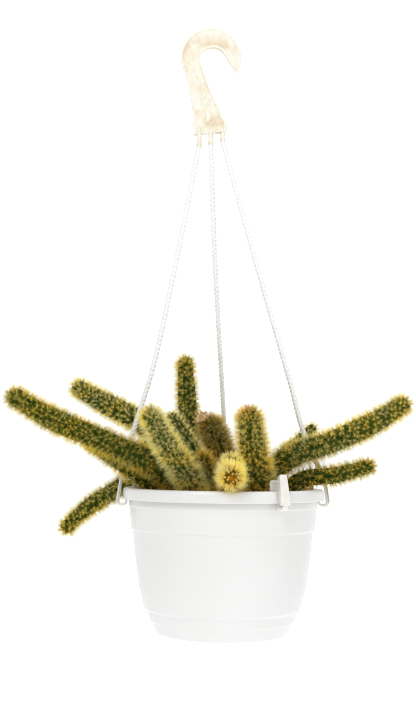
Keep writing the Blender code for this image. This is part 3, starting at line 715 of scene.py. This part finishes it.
class Stalk:
    """A stem's centre line with a frame that doesn't twist, and its skin as a surface."""

    def __init__(self, girth, points):
        self.girth = girth
        self.line = centre_line(points)
        step = np.linalg.norm(np.diff(self.line, axis=0), axis=1)
        self.along = np.concatenate([[0], np.cumsum(step)])
        self.length = self.along[-1]
        self.neck = self.length - girth * (1 - TAPER)
        tangent = np.gradient(self.line, axis=0)
        self.tangent = tangent / np.linalg.norm(tangent, axis=1)[:, None]
        side = np.array([0.0, 1.0, 0.0])
        sides = []
        for direction in self.tangent:
            side = side - direction * side.dot(direction)
            side = side / np.linalg.norm(side)
            sides.append(side)
        self.side = np.array(sides)
        self.ribs = 2 * int(round(pi * girth / RIB_SPACING))

    def frame_at(self, distance):
        """Points, tangents and the two cross directions at an array of distances."""
        def mix(values):
            return np.stack([np.interp(distance, self.along, values[:, k]) for k in range(3)], -1)
        tangent = mix(self.tangent)
        tangent /= np.linalg.norm(tangent, axis=-1, keepdims=True)
        side = mix(self.side)
        side -= tangent * np.sum(side * tangent, -1, keepdims=True)
        side /= np.linalg.norm(side, axis=-1, keepdims=True)
        return mix(self.line), tangent, side, np.cross(tangent, side)

    def skin(self, round_angle, distance):
        """Point and outward direction on the skin, and its relief from -1 to 1.

        The radius is the girth times a slow swell, plus a relief of half a cosine across the ribs
        and half a cosine along them, whose phase moves half a step from each rib to the next. Past
        the neck the distance bends over a dome: a quarter circle of the girth at the tip, which
        is the smaller because the last stretch tapers by a smooth step."""
        over = np.clip((distance - self.neck) / (self.reach - self.neck), 0, 1) * pi / 2
        body = np.minimum(distance, self.neck)
        point, tangent, side, other = self.frame_at(body)
        outward = np.cos(round_angle)[..., None] * side + np.sin(round_angle)[..., None] * other
        normal = np.cos(over)[..., None] * outward + np.sin(over)[..., None] * tangent
        relief = 0.5 * np.cos(self.ribs * round_angle) + 0.5 * np.cos(
            2 * pi * distance / AREOLE_SPACING + self.ribs / 2 * round_angle)
        calm = np.cos(over) * np.clip((distance - ROOT_DEPTH + 3) / 6, 0, 1)
        swell = 1 - SWELL * (1 - np.cos(2 * pi * distance / (self.length * SWELL_SHARE))) / 2
        share = np.clip((distance - self.neck + TAPER_RUN) / TAPER_RUN, 0, 1)
        swell = swell * (1 - TAPER * share ** 2 * (3 - 2 * share))
        radius = self.girth * swell - RIB_RELIEF + RIB_RELIEF * relief * calm
        radius = radius * (0.8 + 0.2 * np.clip(distance / 5, 0, 1))
        return point + normal * radius[..., None], normal, tangent, relief * calm

    @property
    def reach(self):
        """Distance along the skin from the root to the middle of the tip."""
        return self.neck + self.girth * (1 - TAPER) * pi / 2

    def areole_places(self):
        """Bearings and distances of the areoles, and how far each is up the dome, from 0 to 1.

        Below the neck they sit where the ribs cross the rows, half a row on at every other rib. On
        the dome they follow a sunflower's spiral: equal areas, each turned by the golden angle."""
        rows = np.arange(int(ROOT_DEPTH / AREOLE_SPACING), int(self.neck / AREOLE_SPACING) + 2)
        rib, row = (grid.ravel() for grid in np.meshgrid(np.arange(self.ribs), rows))
        distance = (row - (rib % 2) / 2) * AREOLE_SPACING
        keep = (distance > ROOT_DEPTH + 1) & (distance < self.neck)
        dome = self.girth * (1 - TAPER)
        count = int(2 * pi * dome ** 2 / DOME_AREOLE_AREA)
        number = np.arange(count) + 0.5
        height = np.arcsin(1 - number / count)
        return (np.concatenate([2 * pi * rib[keep] / self.ribs, number * pi * (3 - 5 ** 0.5)]),
                np.concatenate([distance[keep], self.neck + dome * height]),
                np.concatenate([np.zeros(keep.sum()), height / (pi / 2)]))


stalks = {node: Stalk(girth, points) for node, (girth, _, points) in STEMS.items()}


def nearest(points, path):
    """Distance of each point from the nearest of the path's points."""
    return np.sqrt(((points[:, None] - path[None]) ** 2).sum(-1)).min(1)


def in_the_way(node, points):
    """True where a spine's point would be inside another stem, a strand, the rim or the soil."""
    spread = np.hypot(points[:, 0], points[:, 1])
    height = points[:, 2]
    blocked = (spread > RIM_INNER - 0.5) & (spread < RIM_OUTER + 0.3) & (height < RIM_TOP + 0.3)
    blocked |= (height < SOIL_TOP + 0.5) & (spread < RIM_OUTER)
    for other, stalk in stalks.items():
        if other != node:
            low, high = stalk.line.min(0) - stalk.girth, stalk.line.max(0) + stalk.girth
            near = ((points > low) & (points < high)).all(1) & ~blocked
            if near.any():
                blocked[near] |= nearest(points[near], stalk.line[:-3]) < stalk.girth - 0.4
    for side in STRAND_ENDS:
        route = strand_route(side, 160)
        near = (height > 135) & ~blocked
        if near.any():
            blocked[near] |= nearest(points[near], route) < STRAND_RADIUS + 0.5
    for angle in CLIP_ANGLES.values():
        c, s = cos(radians(angle)), sin(radians(angle))
        out = points[:, :2] @ np.array([c, s])
        beside = np.abs(points[:, 0] * s - points[:, 1] * c)
        at_strap = (out > 77.5) & (out < 97.5) & (beside < CLIP_WIDTH / 2 + 0.4)
        blocked |= at_strap & (height < CLIP_TOP + 1)
    return blocked


def needles(base, direction, length, half_width):
    """Closed three-sided needles: a triangle across each base and a point at its end."""
    helper = np.where(np.abs(direction[:, 2:]) < 0.9, (0.0, 0.0, 1.0), (1.0, 0.0, 0.0))
    beside = np.cross(direction, helper)
    beside /= np.linalg.norm(beside, axis=1)[:, None]
    other = np.cross(direction, beside)
    angle = np.array([0.0, 2 * pi / 3, 4 * pi / 3])[None, :, None]
    foot = base[:, None] + half_width[:, None, None] * (np.cos(angle) * beside[:, None]
                                                        + np.sin(angle) * other[:, None])
    tip = base + direction * length[:, None]
    vertices = np.concatenate([foot, tip[:, None]], axis=1).reshape(-1, 3)
    faces = np.array([(2, 1, 0), (0, 1, 3), (1, 2, 3), (2, 0, 3)])[None]
    return vertices, (faces + 4 * np.arange(len(base))[:, None, None]).reshape(-1, 3)


FLAT_LIFT = radians(22), radians(8)
STANDING_LIFT = radians(68), radians(15)
TIP_LIFT = radians(15)
AREOLE_JITTER = 0.8
FLAT_WIDTH = 0.75
# Towards the soil the spines grow longer and darker; the darkening is partly painted shade, partly
# older spines.
NEAR_SOIL_SHARE, OLD_GROWTH, AGE_AND_SHADE_DARKENING = 0.6, 0.28, 0.5


def coat_of_spines(node, stalk, coat, chance):
    """The spines of a stem: a star of them at each areole, over a small cushion of wool.

    A flat spine leaves its areole at any bearing and about 22 degrees above the skin; a standing
    one at about 68 degrees, leaning to the tip. Combing shrinks their sideways run. Lengths,
    angles and tints vary by chance, and the tints also by a slow wave along the stem. Towards the
    soil the spines grow longer and darker; the darkening is partly painted shade from the stems
    above and partly older spines."""
    round_angle, distance, over = stalk.areole_places()
    count = len(distance)
    jitter = chance.normal(0, AREOLE_JITTER, (2, count))
    seat, normal, tangent, _ = stalk.skin(round_angle + jitter[0] / stalk.girth,
                                          distance + jitter[1])
    forward = tangent - normal * np.sum(tangent * normal, -1, keepdims=True)
    forward += 1e-6 * np.roll(normal, 1, axis=1)
    forward /= np.linalg.norm(forward, axis=1)[:, None]
    sideways = np.cross(normal, forward)
    each = coat["flat"] + coat["standing"]
    standing = np.broadcast_to(np.arange(each) >= coat["flat"], (count, each))
    bearing = 2 * pi * (np.arange(each)[None] * 0.381966 + chance.random((count, 1)))
    bearing = bearing + chance.normal(0, 0.3, (count, each))
    lift = np.where(standing, chance.normal(*STANDING_LIFT, (count, each)),
                    chance.normal(*FLAT_LIFT, (count, each)))
    lift = lift + over[:, None] * TIP_LIFT
    length = np.where(standing, coat["long"], coat["short"])
    length = length * chance.normal(1.0, 0.16, (count, each))
    from_soil = (distance - ROOT_DEPTH) / (NEAR_SOIL_SHARE * (stalk.length - ROOT_DEPTH))
    near_soil = np.clip(1 - from_soil, 0, 1)[:, None]
    length = length * (1 + OLD_GROWTH * near_soil * standing) * (1 - 0.3 * over[:, None] ** 2)
    if coat is COATS["halo"]:
        behind = np.clip((stalk.neck - HALO_RUN - distance) / 4, 0, 1)[:, None]
        length = length * (1 - 0.45 * behind) * (1 - 0.5 * np.sin(over * pi / 2)[:, None] ** 0.5)
    direction = (np.cos(lift)[..., None] * (
        np.cos(bearing)[..., None] * forward[:, None]
        + (1 - coat["comb"]) * np.sin(bearing)[..., None] * sideways[:, None])
        + np.sin(lift)[..., None] * normal[:, None])
    direction = direction + coat["lean"] * standing[..., None] * tangent[:, None]
    direction /= np.linalg.norm(direction, axis=-1, keepdims=True)
    base = seat[:, None] - 0.5 * normal[:, None] + direction * 0.2
    base, direction, length = base.reshape(-1, 3), direction.reshape(-1, 3), length.ravel()
    width = coat["stout"] * np.where(standing, 1.0, FLAT_WIDTH).ravel()
    width = width * chance.normal(1, 0.12, len(length))
    free = ~in_the_way(node, base + direction * length[:, None])
    vertices, faces = needles(base[free], direction[free], length[free], width[free])
    wave = np.sin(distance / 9.0 + 2 * np.sin(round_angle + distance / 17.0))
    shade = (1.0 + 0.14 * wave[:, None]) * chance.normal(1.0, 0.18, (count, each))
    # Darker towards the soil: partly painted shade from the stems above, partly older spines.
    shade = shade * (1 - AGE_AND_SHADE_DARKENING * near_soil)
    warm = np.stack([np.ones(count), 0.95 - 0.07 * wave, 0.85 - 0.25 * wave], axis=-1)
    tone = (shade[..., None] * warm[:, None]).reshape(-1, 3)[free]
    age = np.repeat(over ** 2, each)[free][:, None]
    young = np.array(coat["young"]) * age
    raised = 0.5 * standing.reshape(-1, 1)[free]
    root = np.array(coat["root"]) * (1 - raised) + np.array(coat["point"]) * raised
    root = (root * (1 - age) + young) * tone
    point = (np.array(coat["point"]) * (1 - 0.7 * age) + 0.7 * young) * tone
    tints = np.stack([root, root, root, point], axis=1).reshape(-1, 3)
    return (vertices, faces, np.clip(tints, 0, 1)), areoles(seat, normal, forward, sideways)


def areoles(seat, normal, forward, sideways):
    """A small low cushion of wool at each areole: a six-sided dome with a closed underside."""
    angle = np.linspace(0, 2 * pi, 6, endpoint=False)[None, :, None]
    ring = seat[:, None] + 0.5 * (np.cos(angle) * 1.3 * forward[:, None]
                                  + np.sin(angle) * sideways[:, None]) - 0.1 * normal[:, None]
    crown = seat + 0.7 * normal
    below = seat - 0.4 * normal
    vertices = np.concatenate([ring, crown[:, None], below[:, None]], axis=1).reshape(-1, 3)
    around = np.arange(6)
    following = (around + 1) % 6
    faces = np.concatenate([np.stack([around, following, np.full(6, 6)], -1),
                            np.stack([following, around, np.full(6, 7)], -1)])[None]
    return vertices, (faces + 8 * np.arange(len(seat))[:, None, None]).reshape(-1, 3)


skin_green, place, shader = finish_of("stem_skin", 0.5, (0.05, 0.08, 0.02), Specular_IOR_Level=0.03)
tint = place.node("ShaderNodeAttribute", {"attribute_name": "tint"})
product = {"data_type": "RGBA", "blend_type": "MULTIPLY"}
mottle = noise(place, 420.0, 4.0)
blotch = mottle.smooth(0.2, 0.8).mix((0.65, 0.65, 0.65), (1.25, 1.25, 1.2))
feed(shader, "Base Color", place.node("ShaderNodeMix", product, {0: 1.0, 6: tint, 7: blotch}, 2))
feed(shader, "Roughness", mottle * 0.25 + 0.35)
feed(shader, "Normal", bump(mottle, 0.4, 0.0003))
spine_gold, place, shader = finish_of("spine_gold", 0.5, Specular_IOR_Level=0.03)
tint = place.node("ShaderNodeAttribute", {"attribute_name": "tint"})
feed(shader, "Base Color", tint)
# Painted light: the spines glow in the square of their own tint, standing in for light shining
# through them.
feed(shader, "Emission Color", place.node("ShaderNodeMix", product, {0: 1.0, 6: tint, 7: tint}, 2))
shader.inputs["Emission Strength"].default_value = SPINE_PAINTED_GLOW
# Skin colours: the dark valley green is painted shade in the creases between the ribs; the ridge
# green is the skin's own.
SKIN_VALLEY_SHADE = (0.005, 0.014, 0.001)
SKIN_RIDGE = (0.030, 0.068, 0.004)
SKIN_ROOT = (0.09, 0.075, 0.035)
SKIN_TIP = (0.25, 0.2, 0.03)
SKIN_STEP = 1.5
COLUMNS_A_RIB = 4

for number, (node, (girth, coat_name, _)) in enumerate(STEMS.items()):
    stalk = stalks[node]
    chance = np.random.default_rng(100 + number)
    columns = stalk.ribs * COLUMNS_A_RIB
    rows = int(stalk.reach / SKIN_STEP)
    distance = np.linspace(0, stalk.reach - 0.1, rows)[:, None]
    angle = np.linspace(0, 2 * pi, columns, endpoint=False)[None, :]
    distance, angle = np.broadcast_arrays(distance, angle)
    skin, _, _, relief = stalk.skin(angle, distance)
    vertices, faces = capped(skin)
    # Painted shade: the valleys between the ribs are coloured much darker than the ridges.
    ridge = np.clip(relief * 0.5 + 0.5, 0, 1)[..., None]
    colour = np.array(SKIN_VALLEY_SHADE) * (1 - ridge) + np.array(SKIN_RIDGE) * ridge
    apex = np.clip((distance - stalk.neck) / (stalk.reach - stalk.neck), 0, 1)[..., None] ** 4
    colour = colour * (1 - apex) + np.array(COATS[coat_name]["young"]) * 0.5 * apex
    buried = np.clip((ROOT_DEPTH + 16 - distance) / 14, 0, 1)[..., None]
    colour = colour * (1 - buried) + np.array(SKIN_ROOT) * buried
    skin_tints = np.vstack([colour.reshape(-1, 3), [SKIN_ROOT], [SKIN_TIP]])
    (spines, spine_faces, spine_tints), (wool, wool_faces) = coat_of_spines(
        node, stalk, COATS[coat_name], chance)
    cushions = len(wool) // 8
    wool_tints = np.array(AREOLE_COLOUR) * chance.normal(0.75, 0.3, (cushions, 1, 1))
    wool_tints = np.broadcast_to(np.clip(wool_tints, 0, 1), (cushions, 8, 3)).reshape(-1, 3)
    offset = len(vertices)
    faces += [spine_faces + offset, wool_faces + offset + len(spines)]
    grown = piece(node + "_grown", np.vstack([vertices, spines, wool]), faces,
                  [skin_green, spine_gold], slots=[0, 0, 0, 1, 1],
                  tints=np.vstack([skin_tints, spine_tints, wool_tints]))
    dressed(grown, node)

# The dry flower: the brown papery remains of a bloom, shrivelled on the left of the middle
# stem's dome: folded petals, each a thin curled sheet.
FLOWER_REACH = 10.5
FLOWER_AIM = np.array((-0.66, -0.55, 0.51))
PETALS = 9
PETAL_HALF_WIDTH, PETAL_HALF_THICKNESS = 2.3, 0.28
paper_brown, place, shader = finish_of("dry_petal", 0.85)
vein = noise(place, 700.0, 5.0, 0.65)
feed(shader, "Base Color", vein.smooth(0.3, 0.72).mix((0.34, 0.18, 0.04), (0.85, 0.65, 0.34)))
feed(shader, "Normal", bump(vein, 0.7, 0.0005))
stalk = stalks["stem_middle"]
dome = stalk.frame_at(np.array([stalk.neck]))[0][0]
tangent = FLOWER_AIM / np.linalg.norm(FLOWER_AIM)
side = np.cross(tangent, (0.0, 0.0, 1.0))
side /= np.linalg.norm(side)
other = np.cross(tangent, side)
tip = dome + tangent * (stalk.girth + 0.6)
chance = np.random.default_rng(31)
parts = []
for index in range(PETALS):
    bearing = 2 * pi * index / PETALS + chance.normal(0, 0.15)
    outward = cos(bearing) * side + sin(bearing) * other * 0.75
    beside = np.cross(tangent, outward)
    along = np.linspace(0, 1, 14)[:, None]
    width = np.linspace(-1, 1, 9)[None, :]
    length = FLOWER_REACH * chance.uniform(0.7, 1.05)
    curl = chance.uniform(0.1, 0.7)
    out = length * (0.15 + 0.85 * along)
    rise = 1.2 + length * (0.55 * along ** 1.5 * curl - 0.10 * np.sin(3 * pi * along + index))
    spread = PETAL_HALF_WIDTH * np.sin(pi * (0.12 + 0.83 * along)) ** 0.7 * width
    fold = 0.9 * np.cos(pi * width * 1.5 + index) * along
    sheet = (tip + out[..., None] * outward + (rise + fold)[..., None] * tangent
             + spread[..., None] * beside)
    thick = PETAL_HALF_THICKNESS * tangent
    rim = np.concatenate([sheet + thick, sheet[:, ::-1] - thick], axis=1)
    parts.append(capped(rim))
vertices, faces = together(parts)
flower = piece("dry_flower_papery", vertices, faces, [paper_brown])
dressed(flower, "dry_flower")
